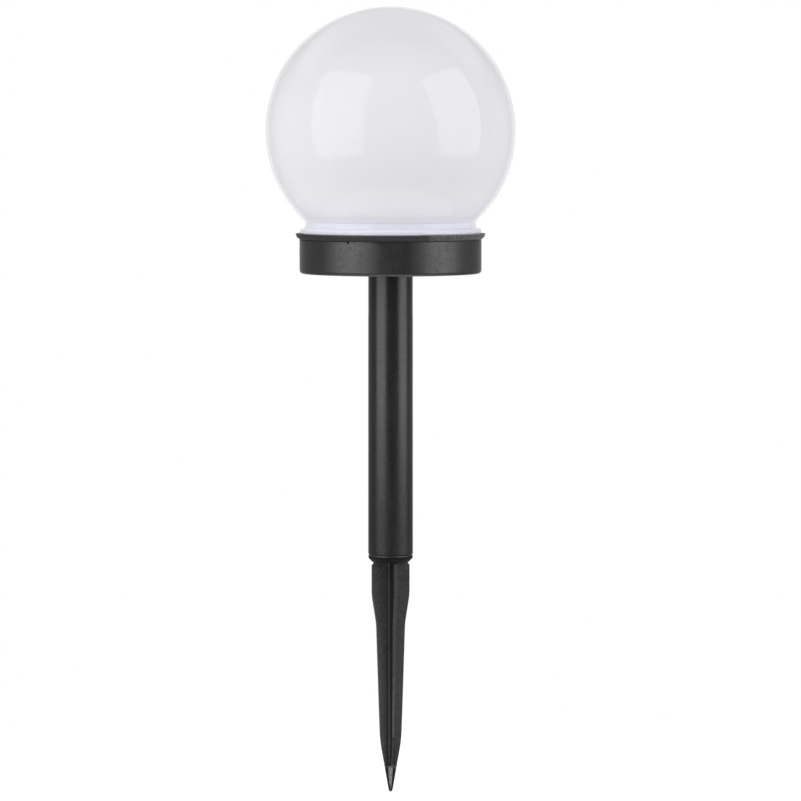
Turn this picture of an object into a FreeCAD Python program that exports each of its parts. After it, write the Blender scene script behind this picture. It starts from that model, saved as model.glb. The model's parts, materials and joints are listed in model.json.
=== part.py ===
import FreeCAD, Part
import math
import os

# Garden globe light: a white ball on a black solar base, a push-fit post and a ground spike.
# Units are millimetres. +Z is up and the lamp stands on the Z axis. The origin is on that axis at
# ground level, where the underside of the spike's collar meets the soil.

Vector = FreeCAD.Vector
UP = Vector(0, 0, 1)
OVERLAP = 0.5
PAST = 1.0
MOST_OF_A_SIDE = 0.49

# Ball
globe_diameter = 100.0
globe_wall = 1.6
neck_height = 2.5
neck_blend = 0.8
flange_inset = 0.18
flange_step = 2.05
flange_height = 2.1
flange_edge_round = 0.5
skirt_wall = 1.5
skirt_length = 5.4
skirt_root = 0.4

# Screw fit of the ball: helical lugs on its skirt run in grooves that are open at the rim
thread_starts = 3
thread_lead = 28.0
lug_span_deg = 20.0
lug_height = 2.0
lug_depth = 1.2
lug_foot_margin = 0.12
thread_gap = 0.2
skirt_gap = 0.25
open_turn_deg = 90.0

# Lower housing: the cup that holds the battery, with the spigot for the post under it
cup_wall = 1.55
cup_floor = 1.8
cup_foot_round = 1.4
cup_brim_round = 0.2
ledge_width = 1.5
head_spigot_length = 17.0
spigot_wall = 1.6
spigot_lead_in = 0.6
pry_notch_deg = -44.0
pry_notch_span_deg = 26.0
pry_notch_height = 0.8
pry_notch_depth = 0.9

# Upper housing: rim, grooved collar and the raised deck that carries the solar panel
rim_overhang = 1.6
rim_height = 2.4
rim_taper = 0.5
rim_band = 1.4
rim_foot_round = 0.3
rim_brim_round = 0.12
nest_gap = 0.2
groove_back_wall = 0.8
collar_floor = 1.6
skirt_foot_gap = 1.6
deck_drop = 1.4
deck_wall = 1.5
deck_plate = 1.6
deck_edge_round = 0.8
deck_gap = 0.6
deck_headroom = 0.7
panel_wire_hole_radius = 3.0
light_wire_hole_radius = 2.4
tab_count = 3
tab_slit_width = 0.7
tab_slit_depth = 0.45
tab_slit_angles = (8.0, 27.0)

# Seals
globe_seal_width = 1.2
globe_seal_height = 1.0
globe_seal_margin = 0.3
globe_seal_gap = 0.1
housing_seal_height = 1.2
housing_seal_gap = 0.1

# Housing screws
screw_count = 3
screw_start_deg = 30.0
screw_radius = 1.3
screw_head_radius = 2.5
screw_head_height = 1.7
screw_head_round = 1.2
screw_head_sink = 0.3
screw_seat_wall = 1.6
screw_tip_cover = 0.8
screw_tip_length = 1.0
screw_tip_radius = 0.4
screw_hole_gap = 0.1
screw_pilot_gap = 0.05
screw_boss_radius = 3.0
screw_boss_gap = 0.1
screw_boss_side_gap = 0.2
cross_slot_length = 3.0
cross_slot_width = 0.7
cross_slot_depth = 0.9

# Post
post_diameter = 18.0
post_wall = 1.1
post_length = 113.0
post_end_chamfer = 0.3
post_socket_step = 0.05
post_socket_step_length = 0.6
push_gap = 0.08

# Ground spike
spike_collar_inset = 0.1
spike_collar_height = 3.0
collar_foot_inset = 1.4
collar_foot_round = 0.3
collar_band_foot = 1.5
collar_round = 0.8
spike_spigot_length = 14.0
spike_spigot_wall = 1.8
spike_depth = 93.3
blade_reach = 7.75
blade_chamfer = 1.0
blade_chamfer_height = 1.6
blade_shoulder_depth = 13.4
blade_waist_reach = 5.88
blade_waist_depth = 25.1
blade_low_reach = 4.38
blade_low_depth = 72.6
blade_end_reach = 1.85
blade_end_depth = 86.0
blade_bend_round = 30.0
blade_low_round = 55.0
blade_thickness = 1.5
blade_low_thickness = 1.0
core_radius = 1.5
core_low_radius = 1.25
point_length = 10.8
point_radius = 2.6
point_shoulder = 0.6
tip_radius = 0.85
tip_round = 0.8

# Battery bay
battery_diameter = 10.2
battery_length = 43.6
battery_nub_radius = 1.9
battery_nub_height = 0.9
battery_edge_round = 0.6
battery_floor_gap = 0.3
battery_y = -6.2
bay_wall = 1.2
bay_wall_drop = 1.0
bay_side_gap = 0.4
saddle_spacing = 24.0
saddle_width = 2.0
saddle_height = 3.2
saddle_wing = 1.1
saddle_gap = 0.1
contact_thickness = 0.4
contact_floor_gap = 0.3
contact_top_gap = 0.6
contact_side_gap = 0.4
contact_tab_reach = 3.4
spring_length = 4.7
spring_wire_radius = 0.3
spring_large_radius = 3.6
spring_small_radius = 1.7
spring_turns = 3
spring_end_gap = 0.05

# Driver board, and how far in from its edges its parts sit
board_bay_gap = 7.1
board_length = 28.0
board_width = 16.0
board_thickness = 1.2
board_post_radius = 2.2
board_post_inset = 3.0
board_screw_radius = 0.85
board_screw_length = 4.0
board_screw_head_radius = 1.7
board_screw_head_height = 1.2
board_hole_gap = 0.1
chip_size = (5.0, 4.0, 1.6)
chip_inset = (6.0, 3.8)
inductor_radius = 2.4
inductor_height = 5.0
inductor_core_radius = 1.3
inductor_flange = 0.8
winding_inset = 0.3
inductor_inset = (6.5, 3.4)
capacitor_radius = 2.0
capacitor_height = 5.0
capacitor_inset = (8.5, 3.2)

# Slide switch under the board: the lever's stem comes out through the cup's floor
switch_length = 8.6
switch_width = 3.7
switch_height = 3.6
switch_floor_gap = 0.2
switch_lip = 0.7
stem_length = 1.6
stem_width = 1.5
stem_reach = 0.6
slider_length = 3.6
slider_width = 2.5
slider_height = 0.8
lever_travel = 2.0
lever_gap = 0.2
recess_length = 14.0
recess_width = 7.0
recess_depth = 0.8
recess_round = 1.5

# Solar panel and light board
light_board_margin = 0.4
light_board_thickness = 1.0
light_board_web = 2.4
panel_gap = 0.5
panel_board_thickness = 1.2
cell_count = 4
cell_gap = 0.5
cell_margin = 1.5
cell_thickness = 0.3
resin_thickness = 1.2
resin_edge = 0.4
led_size = (3.5, 2.8, 0.8)
led_offset = 9.0

# Wires: where they start and end, and the straight lead at each end
wire_radius = 0.55
wire_share_of_run = 0.45
panel_wire_spread = 1.5
panel_wire_back = 2.0
panel_pad = (3.4, 1.0)
light_wire_spread = 1.2
edge_pad_inset = 1.6
contact_wire_rise = 1.4
contact_wire_inset = 1.2
wire_drop = 3.2
wire_rise = 2.8
contact_wire_lead = 5.5

# Levels, from the ground up
post_foot = spike_collar_height
cup_underside = post_foot + post_length
cup_floor_top = cup_underside + cup_floor
board_underside = cup_floor_top + switch_floor_gap + switch_height
board_top = board_underside + board_thickness
tallest_part = max(inductor_height, capacitor_height, chip_size[2])
battery_top = cup_floor_top + battery_floor_gap + battery_diameter
deck_underside = max(battery_top, board_top + tallest_part) + deck_headroom
deck_top = deck_underside + deck_plate
rim_top = deck_top + deck_drop
cup_top = rim_top - rim_height
flange_top = rim_top + flange_height
skirt_foot = rim_top - skirt_length
collar_floor_top = skirt_foot - skirt_foot_gap
collar_underside = collar_floor_top - collar_floor
ledge_top = collar_underside - housing_seal_height
lug_rise = thread_lead * lug_span_deg / 360
lug_level = skirt_foot + lug_foot_margin + (lug_height + lug_rise) / 2
battery_z = battery_top - battery_diameter / 2
bay_wall_top = battery_top - bay_wall_drop
screw_seat = cup_underside + screw_head_sink + screw_head_height
screw_tip = collar_floor_top - screw_tip_cover
boss_foot = screw_seat + screw_seat_wall + screw_boss_gap
panel_board_top = deck_top + panel_board_thickness
panel_top = panel_board_top + resin_thickness

# Radii, from the battery bay out
battery_radius = battery_diameter / 2
bay_half_length = (battery_length + battery_nub_height + spring_length) / 2 + contact_thickness
bay_corner = Vector(bay_half_length + bay_wall, abs(battery_y) + battery_radius, 0)
deck_bore_radius = bay_corner.Length + bay_side_gap
deck_radius = deck_bore_radius + deck_wall
skirt_inner_radius = deck_radius + deck_gap
skirt_radius = skirt_inner_radius + skirt_wall
lug_radius = skirt_radius + lug_depth
groove_radius = lug_radius + thread_gap
collar_bore_radius = skirt_radius + skirt_gap
collar_radius = groove_radius + groove_back_wall
cup_inner_radius = collar_radius + nest_gap
cup_radius = cup_inner_radius + cup_wall
ledge_radius = cup_inner_radius - ledge_width
rim_radius = cup_radius + rim_overhang
flange_radius = cup_radius - flange_inset
neck_radius = flange_radius - flange_step
screw_circle_radius = ledge_radius - screw_boss_side_gap - screw_boss_radius
globe_radius = globe_diameter / 2
post_radius = post_diameter / 2
post_bore_radius = post_radius - post_wall
spigot_radius = post_bore_radius - push_gap
light_board_radius = deck_radius - light_board_margin

# Places
ball_start = flange_top + neck_height
ball_centre = ball_start + math.sqrt(globe_radius**2 - neck_radius**2)
board_y = battery_y + battery_radius + board_bay_gap + board_width / 2
board_post_x = board_length / 2 - board_post_inset
window_side = math.sqrt(2) * (light_board_radius - light_board_web)
panel_side = window_side - 2 * panel_gap
led_distance = (window_side / 2 + light_board_radius) / 2
switch_underside = board_underside - switch_height


# Shapes used again and again


def corner_arc(start, corner, end):
    """Arc from start to end that touches the two equal legs from them to the corner."""
    back = start - corner
    ahead = end - corner
    reach = back.Length
    half = back.getAngle(ahead) / 2
    inward = (back + ahead).normalize()
    middle = corner + inward * reach * (1 / math.cos(half) - math.tan(half))
    return Part.Arc(start, middle, end).toShape()


def biarc(start, leave, end, arrive):
    """Two arcs from start to end that leave and arrive along the given unit directions."""
    chord = end - start
    along = chord.dot(leave + arrive)
    turn = 2 * (1 - leave.dot(arrive))
    reach = (math.sqrt(along**2 + turn * chord.dot(chord)) - along) / turn
    first_corner = start + leave * reach
    last_corner = end - arrive * reach
    meeting = (first_corner + last_corner) / 2
    return [corner_arc(start, first_corner, meeting), corner_arc(meeting, last_corner, end)]


def outline(corners):
    """Closed wire in the XZ plane through corners (x, z) or (x, z, rounding radius)."""
    points = [Vector(corner[0], 0, corner[1]) for corner in corners]
    edges = []
    ends = []
    for i, corner in enumerate(corners):
        if len(corner) < 3:
            ends.append((points[i], points[i]))
            continue
        before = points[i - 1] - points[i]
        after = points[(i + 1) % len(points)] - points[i]
        limit = MOST_OF_A_SIDE * min(before.Length, after.Length)
        reach = min(corner[2] / math.tan(before.getAngle(after) / 2), limit)
        start = points[i] + before.normalize() * reach
        end = points[i] + after.normalize() * reach
        edges.append(corner_arc(start, points[i], end))
        ends.append((start, end))
    for i, (_, leave) in enumerate(ends):
        arrive = ends[(i + 1) % len(ends)][0]
        edges.append(Part.makeLine(leave, arrive))
    return Part.Wire(Part.__sortEdges__(edges))


def turned(corners, degrees=360):
    """Solid of revolution about Z from an outline of (radius, height) corners."""
    return Part.Face(outline(corners)).revolve(Vector(0, 0, 0), UP, degrees)


def cylinder(radius, low, high, x=0.0, y=0.0):
    return Part.makeCylinder(radius, high - low, Vector(x, y, low))


def ring(inner, outer, low, high):
    return cylinder(outer, low, high).cut(cylinder(inner, low - PAST, high + PAST))


def block(centre_x, centre_y, low, length, width, height):
    corner = Vector(centre_x - length / 2, centre_y - width / 2, low)
    return Part.makeBox(length, width, height, corner)


def turned_copy(shape, degrees):
    copy = shape.copy()
    copy.rotate(Vector(0, 0, 0), UP, degrees)
    return copy


def around(shape, count, start_deg=0.0):
    """Copies of a shape, evenly spaced about Z."""
    return [turned_copy(shape, start_deg + 360.0 * i / count) for i in range(count)]


def helical_band(inner, outer, height, start_deg, span_deg):
    """Band on the ball's screw helix. Its middle is at the lugs' level where the angle is 0."""
    rise = thread_lead * span_deg / 360
    spine = Part.makeHelix(thread_lead, rise, (inner + outer) / 2)
    half = height / 2
    section = outline([(inner, -half), (outer, -half), (outer, half), (inner, half)])
    band = Part.Wire(spine.Edges).makePipeShell([section], True, True)
    band.rotate(Vector(0, 0, 0), UP, start_deg)
    band.translate(Vector(0, 0, lug_level + thread_lead * start_deg / 360))
    return band


# Ball


def globe():
    inner_radius = globe_radius - globe_wall
    neck_inner = neck_radius - globe_wall
    inner_start = ball_centre - math.sqrt(inner_radius**2 - neck_inner**2)
    skirt_top = flange_top - skirt_root
    below = cylinder(globe_radius, ball_centre - globe_radius - PAST, ball_start)
    body = Part.makeSphere(globe_radius, Vector(0, 0, ball_centre)).cut(below)
    neck = turned(
        [
            (0, rim_top),
            (flange_radius, rim_top, flange_edge_round),
            (flange_radius, flange_top, flange_edge_round),
            (neck_radius, flange_top, neck_blend),
            (neck_radius, ball_start + neck_blend),
            (0, ball_start + neck_blend),
        ]
    )
    skirt = cylinder(skirt_radius, skirt_foot, rim_top + OVERLAP)
    below = cylinder(globe_radius, ball_centre - globe_radius - PAST, inner_start)
    hollow = Part.makeSphere(inner_radius, Vector(0, 0, ball_centre)).cut(below)
    mouth = cylinder(neck_inner, skirt_top, inner_start + OVERLAP)
    skirt_bore = cylinder(skirt_inner_radius, skirt_foot - PAST, skirt_top + OVERLAP)
    lug = helical_band(skirt_radius - skirt_wall / 2, lug_radius, lug_height, -lug_span_deg / 2, lug_span_deg)
    whole = body.fuse([neck, skirt]).cut([hollow, mouth, skirt_bore])
    return whole.fuse(around(lug, thread_starts))


def globe_seal():
    outer = flange_radius - globe_seal_margin
    return ring(outer - globe_seal_width, outer, rim_top - globe_seal_height, rim_top)


# Base


def lower_housing():
    foot = cup_underside - head_spigot_length
    spigot_bore_radius = spigot_radius - spigot_wall
    body = turned(
        [
            (0, cup_floor_top),
            (0, cup_underside),
            (spigot_bore_radius, cup_underside),
            (spigot_bore_radius, foot),
            (spigot_radius - spigot_lead_in, foot),
            (spigot_radius, foot + spigot_lead_in),
            (spigot_radius, cup_underside),
            (cup_radius, cup_underside, cup_foot_round),
            (cup_radius, cup_top, cup_brim_round),
            (cup_inner_radius, cup_top),
            (cup_inner_radius, ledge_top),
            (ledge_radius, ledge_top),
            (ledge_radius, cup_floor_top),
        ]
    )
    root = cup_floor_top - OVERLAP
    pad = cylinder(screw_boss_radius, root, screw_seat + screw_seat_wall, screw_circle_radius)
    pads = around(pad, screw_count, screw_start_deg)
    posts = [cylinder(board_post_radius, root, board_underside, x, board_y) for x in board_post_places()]
    return body.fuse(pads + posts + battery_bay()).cut(cup_holes())


def battery_bay():
    """Saddles under the battery and the end walls that hold its contacts."""
    root = cup_floor_top - OVERLAP
    middle = battery_tail_x() + battery_length / 2
    start = Vector(-bay_half_length, battery_y, battery_z)
    bed = Part.makeCylinder(battery_radius + saddle_gap, 2 * bay_half_length, start, Vector(1, 0, 0))
    saddle_length = battery_diameter + 2 * saddle_wing
    pieces = []
    for side in (-1, 1):
        x = middle + side * saddle_spacing / 2
        saddle = block(x, battery_y, root, saddle_width, saddle_length, saddle_height + OVERLAP)
        wall_x = side * (bay_half_length + bay_wall / 2)
        wall = block(wall_x, battery_y, root, bay_wall, battery_diameter, bay_wall_top - root)
        pieces += [saddle.cut(bed), wall]
    return pieces


def board_post_places():
    return (-board_post_x, board_post_x)


def cup_holes():
    """Screw holes, board screw pilots, the pry notch, and the stem's slot in its recess."""
    low = cup_underside - PAST
    head_hole = cylinder(screw_head_radius + screw_head_sink, low, screw_seat, screw_circle_radius)
    shank_hole = cylinder(
        screw_radius + screw_hole_gap, low, screw_seat + screw_seat_wall + PAST, screw_circle_radius
    )
    pilot_foot = board_top - board_screw_length - screw_hole_gap
    pilots = [
        cylinder(board_screw_radius + screw_pilot_gap, pilot_foot, board_top, x, board_y)
        for x in board_post_places()
    ]
    notch = turned(
        [
            (cup_radius - pry_notch_depth, cup_top - pry_notch_height),
            (cup_radius + PAST, cup_top - pry_notch_height),
            (cup_radius + PAST, cup_top + PAST),
            (cup_radius - pry_notch_depth, cup_top + PAST),
        ],
        pry_notch_span_deg,
    )
    slot = block(0, board_y, low, *stem_slot(), cup_floor + 2 * PAST)
    recess = block(0, board_y, low, recess_length, recess_width, PAST + recess_depth)
    upright = [edge for edge in recess.Edges if edge.BoundBox.ZLength > recess_depth]
    return (
        around(head_hole, screw_count, screw_start_deg)
        + around(shank_hole, screw_count, screw_start_deg)
        + pilots
        + [turned_copy(notch, -90.0 + pry_notch_deg), slot, recess.makeFillet(recess_round, upright)]
    )


def stem_slot():
    """Length and width of the slot that the switch's stem travels in."""
    return stem_length + lever_travel + 2 * lever_gap, stem_width + 2 * lever_gap


def upper_housing():
    seal_outer = flange_radius - globe_seal_margin + globe_seal_gap
    seal_inner = seal_outer - globe_seal_width - 2 * globe_seal_gap
    seal_floor = rim_top - globe_seal_height
    body = turned(
        [
            (collar_radius, collar_underside),
            (collar_radius, cup_top),
            (cup_radius - cup_brim_round, cup_top),
            (rim_radius - rim_taper, rim_top - rim_band, rim_foot_round),
            (rim_radius, rim_top, rim_brim_round),
            (seal_outer, rim_top),
            (seal_outer, seal_floor),
            (seal_inner, seal_floor),
            (seal_inner, rim_top),
            (collar_bore_radius, rim_top),
            (collar_bore_radius, collar_floor_top),
            (deck_radius, collar_floor_top),
            (deck_radius, deck_top, deck_edge_round),
            (0, deck_top),
            (0, deck_underside),
            (deck_bore_radius, deck_underside),
            (deck_bore_radius, collar_underside),
        ]
    )
    boss = cylinder(screw_boss_radius, boss_foot, collar_underside + OVERLAP, screw_circle_radius)
    return body.fuse(around(boss, screw_count, screw_start_deg)).cut(upper_housing_cuts())


def upper_housing_cuts():
    """Screw pilots, the grooves for the ball's lugs, the snap tabs' slits and the wire holes."""
    pilot_radius = screw_radius + screw_pilot_gap
    pilot = cylinder(pilot_radius, boss_foot - PAST, screw_tip + screw_hole_gap, screw_circle_radius)
    end_deg = math.degrees(thread_gap / lug_radius)
    groove = helical_band(
        skirt_inner_radius,
        groove_radius,
        lug_height + 2 * thread_gap,
        -lug_span_deg / 2 - end_deg,
        lug_span_deg + open_turn_deg + 2 * end_deg,
    )
    slit = block(rim_radius, 0, cup_top, 2 * tab_slit_depth, tab_slit_width, rim_height + PAST)
    slits = [copy for deg in tab_slit_angles for copy in around(slit, tab_count, deg - 90.0)]
    low = deck_underside - PAST
    high = deck_top + PAST
    wire_holes = [
        cylinder(panel_wire_hole_radius, low, high, 0, board_y - panel_wire_back),
        cylinder(light_wire_hole_radius, low, high, 0, led_distance),
    ]
    return around(pilot, screw_count, screw_start_deg) + around(groove, thread_starts) + slits + wire_holes


def housing_seal():
    """Square gasket ring, clamped between the cup's ledge and the underside of the collar."""
    return ring(ledge_radius + housing_seal_gap, collar_radius, ledge_top, collar_underside)


def housing_screws():
    head_foot = screw_seat - screw_head_height
    screw = turned(
        [
            (0, head_foot),
            (screw_head_radius, head_foot, screw_head_round),
            (screw_head_radius, screw_seat),
            (screw_radius, screw_seat),
            (screw_radius, screw_tip - screw_tip_length),
            (screw_tip_radius, screw_tip),
            (0, screw_tip),
        ]
    )
    slot = block(0, 0, head_foot - PAST, cross_slot_length, cross_slot_width, PAST + cross_slot_depth)
    screw = screw.cut([slot, turned_copy(slot, 90)])
    screw.translate(Vector(screw_circle_radius, 0, 0))
    return Part.makeCompound(around(screw, screw_count, screw_start_deg))


# Post and ground spike


def post_tube():
    """Tube with a faint step outside, where its upper end is drawn in round the head's spigot."""
    step_level = cup_underside - head_spigot_length
    slim = post_radius - post_socket_step
    return turned(
        [
            (post_bore_radius, post_foot),
            (post_radius - post_end_chamfer, post_foot),
            (post_radius, post_foot + post_end_chamfer),
            (post_radius, step_level - post_socket_step_length),
            (slim, step_level),
            (slim, cup_underside - post_end_chamfer),
            (slim - post_end_chamfer, cup_underside),
            (post_bore_radius, cup_underside),
        ]
    )


def ground_spike():
    spike_collar_radius = post_radius - spike_collar_inset
    spigot_bore_radius = spigot_radius - spike_spigot_wall
    head = post_foot + spike_spigot_length
    body = turned(
        [
            (0, 0),
            (spike_collar_radius - collar_foot_inset, 0, collar_foot_round),
            (spike_collar_radius, collar_band_foot, collar_round),
            (spike_collar_radius, post_foot, collar_round),
            (spigot_radius, post_foot),
            (spigot_radius, head - spigot_lead_in),
            (spigot_radius - spigot_lead_in, head),
            (spigot_bore_radius, head),
            (spigot_bore_radius, post_foot),
            (0, post_foot),
        ]
    )
    point_top = point_length - spike_depth
    core = turned(
        [
            (0, OVERLAP),
            (core_radius, OVERLAP),
            (core_low_radius, point_top),
            (0, point_top),
        ]
    )
    point = turned(
        [
            (0, point_top + point_shoulder),
            (core_low_radius, point_top + point_shoulder),
            (point_radius, point_top),
            (tip_radius, tip_round - spike_depth, tip_round),
            (tip_radius / 2, -spike_depth),
            (0, -spike_depth),
        ]
    )
    blades = blade_pair()
    return body.fuse([core, point, blades, turned_copy(blades, 90)])


def blade_pair():
    """Two opposite blades in the XZ plane, thinner towards the tip."""
    right = [
        (blade_reach - blade_chamfer, OVERLAP),
        (blade_reach - blade_chamfer, 0),
        (blade_reach, -blade_chamfer_height),
        (blade_reach, -blade_shoulder_depth, blade_bend_round),
        (blade_waist_reach, -blade_waist_depth, blade_bend_round),
        (blade_low_reach, -blade_low_depth, blade_low_round),
        (blade_end_reach, -blade_end_depth),
    ]
    left = [(-corner[0],) + corner[1:] for corner in reversed(right)]
    plate = Part.Face(outline(right + left)).extrude(Vector(0, blade_thickness, 0))
    plate.translate(Vector(0, -blade_thickness / 2, 0))
    half = blade_thickness / 2
    low = blade_low_thickness / 2
    section = [(half, OVERLAP), (half, -blade_waist_depth), (low, -blade_low_depth), (low, -spike_depth)]
    mirrored = [(-y, z) for y, z in reversed(section)]
    taper = Part.Face(outline(section + mirrored)).extrude(Vector(0, 2 * blade_reach, 0))
    taper.translate(Vector(0, -blade_reach, 0))
    return plate.common(turned_copy(taper, 90))


# Battery and its contacts


def battery_tail_x():
    """Where the battery's flat end lies, with its nub against the positive contact."""
    return bay_half_length - contact_thickness - battery_nub_height - battery_length


def battery():
    cell = Part.makeCylinder(battery_radius, battery_length)
    cell = cell.makeFillet(battery_edge_round, [edge for edge in cell.Edges if len(edge.Vertexes) == 1])
    nub_foot = battery_length - OVERLAP
    nub = cylinder(battery_nub_radius, nub_foot, battery_length + battery_nub_height)
    whole = cell.fuse(nub)
    whole.rotate(Vector(0, 0, 0), Vector(0, 1, 0), 90)
    whole.translate(Vector(battery_tail_x(), battery_y, battery_z))
    return whole


def contact_plate(side):
    """Sheet against an end wall, with a solder tab that stands out past the wall."""
    low_y = battery_y - battery_radius + contact_side_gap
    high_y = battery_y + battery_radius + contact_tab_reach
    x = side * (bay_half_length - contact_thickness / 2)
    low = cup_floor_top + contact_floor_gap
    height = bay_wall_top - contact_top_gap - low
    return block(x, (low_y + high_y) / 2, low, contact_thickness, high_y - low_y, height)


def spring_line(share):
    """Point and unit direction of the spring's wire, from its large end at 0 to its small end at 1."""
    rise = spring_length - 2 * spring_wire_radius - spring_end_gap
    narrowing = spring_small_radius - spring_large_radius
    radius = spring_large_radius + narrowing * share
    whole_angle = 2 * math.pi * spring_turns
    outward = Vector(math.cos(whole_angle * share), math.sin(whole_angle * share), 0)
    forward = Vector(-outward.y, outward.x, 0)
    direction = outward * narrowing + forward * whole_angle * radius + UP * rise
    return outward * radius + UP * rise * share, direction.normalize()


def battery_spring():
    """Conical coil on the negative contact, pressed against the battery's flat end."""
    quarters = 4 * spring_turns
    stops = [spring_line(i / quarters) for i in range(quarters + 1)]
    edges = []
    for start, end in zip(stops, stops[1:]):
        edges += biarc(*start, *end)
    section = Part.Circle(*stops[0], spring_wire_radius)
    coil = Part.Wire(edges).makePipeShell([Part.Wire(section.toShape())], True, False)
    coil.rotate(Vector(0, 0, 0), Vector(0, 1, 0), 90)
    face = contact_thickness - bay_half_length
    coil.translate(Vector(face + spring_wire_radius, battery_y, battery_z))
    return coil


# Driver board


def on_board(side_x, side_y, inset):
    """Place of a part that sits an inset (x, y) in from the board's edges on the given sides."""
    return side_x * (board_length / 2 - inset[0]), board_y + side_y * (board_width / 2 - inset[1])


def driver_board():
    board = block(0, board_y, board_underside, board_length, board_width, board_thickness)
    hole_radius = board_screw_radius + board_hole_gap
    low = board_underside - PAST
    return board.cut([cylinder(hole_radius, low, board_top + PAST, x, board_y) for x in board_post_places()])


def board_screws():
    head_top = board_top + board_screw_head_height
    screws = []
    for x in board_post_places():
        shank = cylinder(board_screw_radius, board_top - board_screw_length, head_top, x, board_y)
        head = cylinder(board_screw_head_radius, board_top, head_top, x, board_y)
        screws.append(shank.fuse(head).removeSplitter())
    return Part.makeCompound(screws)


def driver_chip():
    return block(*on_board(1, 1, chip_inset), board_top, *chip_size)


def inductor_core():
    flange_low = board_top + inductor_flange
    flange_high = board_top + inductor_height - inductor_flange
    drum = turned(
        [
            (0, board_top),
            (inductor_radius, board_top),
            (inductor_radius, flange_low),
            (inductor_core_radius, flange_low),
            (inductor_core_radius, flange_high),
            (inductor_radius, flange_high),
            (inductor_radius, board_top + inductor_height),
            (0, board_top + inductor_height),
        ]
    )
    drum.translate(Vector(*on_board(-1, -1, inductor_inset), 0))
    return drum


def inductor_winding():
    low = board_top + inductor_flange
    high = board_top + inductor_height - inductor_flange
    winding = ring(inductor_core_radius, inductor_radius - winding_inset, low, high)
    winding.translate(Vector(*on_board(-1, -1, inductor_inset), 0))
    return winding


def capacitor():
    place = on_board(1, -1, capacitor_inset)
    return cylinder(capacitor_radius, board_top, board_top + capacitor_height, *place)


# Switch


def switch_body():
    body = block(0, board_y, switch_underside, switch_length, switch_width, switch_height)
    cavity_length = slider_length + lever_travel + 2 * lever_gap
    cavity_width = slider_width + 2 * lever_gap
    cavity_foot = switch_underside + switch_lip
    cavity = block(0, board_y, cavity_foot, cavity_length, cavity_width, slider_height + 2 * lever_gap)
    window = block(0, board_y, switch_underside - PAST, *stem_slot(), PAST + switch_lip + lever_gap)
    return body.cut([cavity, window])


def switch_lever():
    """The slider and its stem, at the off end of their travel; they slide towards +X."""
    x = -lever_travel / 2
    slider_foot = switch_underside + switch_lip + lever_gap
    stem_foot = cup_underside - stem_reach
    slider = block(x, board_y, slider_foot, slider_length, slider_width, slider_height)
    stem = block(x, board_y, stem_foot, stem_length, stem_width, slider_foot + OVERLAP - stem_foot)
    return slider.fuse(stem)


# Solar panel and lights


def panel_board():
    return block(0, 0, deck_top, panel_side, panel_side, panel_board_thickness)


def solar_cells():
    length = panel_side - 2 * cell_margin
    pitch = (length + cell_gap) / cell_count
    first = (pitch - cell_gap - length) / 2
    return [
        block(first + i * pitch, 0, panel_board_top, pitch - cell_gap, length, cell_thickness)
        for i in range(cell_count)
    ]


def panel_resin():
    """Clear cast cover: it fills round the cells and over them."""
    resin = block(0, 0, panel_board_top, panel_side, panel_side, resin_thickness)
    top_edges = [edge for edge in resin.Edges if edge.BoundBox.ZMin > panel_top - resin_thickness / 2]
    return resin.makeChamfer(resin_edge, top_edges).cut(solar_cells())


def light_board():
    disc = cylinder(light_board_radius, deck_top, deck_top + light_board_thickness)
    window_height = light_board_thickness + 2 * PAST
    return disc.cut(block(0, 0, deck_top - PAST, window_side, window_side, window_height))


def leds():
    top = deck_top + light_board_thickness
    return [
        block(x, y, top, *led_size)
        for y in (-led_distance, led_distance)
        for x in (-led_offset, led_offset)
    ]


# Wires


def wire(start, start_lead, end, end_lead):
    """Insulated wire with a straight lead at each end, and arcs as large as its runs allow."""
    points = [start, start + start_lead, end + end_lead, end]
    edges = []
    leave = start
    for before, corner, after in zip(points, points[1:], points[2:]):
        back = before - corner
        ahead = after - corner
        reach = wire_share_of_run * min(back.Length, ahead.Length)
        arc_start = corner + back.normalize() * reach
        arc_end = corner + ahead.normalize() * reach
        edges += [Part.makeLine(leave, arc_start), corner_arc(arc_start, corner, arc_end)]
        leave = arc_end
    edges.append(Part.makeLine(leave, end))
    section = Part.Circle(start, start_lead, wire_radius)
    return Part.Wire(edges).makePipeShell([Part.Wire(section.toShape())], True, False)


def panel_wire(side):
    start = Vector(side * panel_wire_spread, board_y - panel_wire_back, deck_top)
    end = Vector(side * panel_pad[0], board_y + panel_pad[1], board_top)
    return wire(start, Vector(0, 0, -wire_drop), end, Vector(0, 0, wire_rise))


def light_wire(side):
    start = Vector(side * light_wire_spread, led_distance, deck_top)
    end = Vector(side * light_wire_spread, board_y + board_width / 2 - edge_pad_inset, board_top)
    return wire(start, Vector(0, 0, -wire_drop), end, Vector(0, 0, wire_rise))


def battery_wire(side):
    tab_x = side * (bay_half_length - contact_thickness)
    tab_y = battery_y + battery_radius + contact_tab_reach - contact_wire_inset
    start = Vector(tab_x, tab_y, battery_z + contact_wire_rise)
    end = Vector(*on_board(side, -1, (edge_pad_inset, edge_pad_inset)), board_top)
    return wire(start, Vector(-side * contact_wire_lead, 0, 0), end, Vector(0, 0, wire_rise))


def save(name, shape):
    """Writes one sub-part, after the seams that fusing leaves are removed."""
    clean = shape.removeSplitter()
    if not clean.isValid() or not clean.Solids:
        raise ValueError(name + " is not a valid solid")
    clean.exportStep(os.path.join("parts", name + ".step"))
    print(name, len(clean.Solids), round(clean.Volume, 1))


def save_row(name, shapes):
    for number, shape in enumerate(shapes, 1):
        save(name + "_" + str(number), shape)


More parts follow.
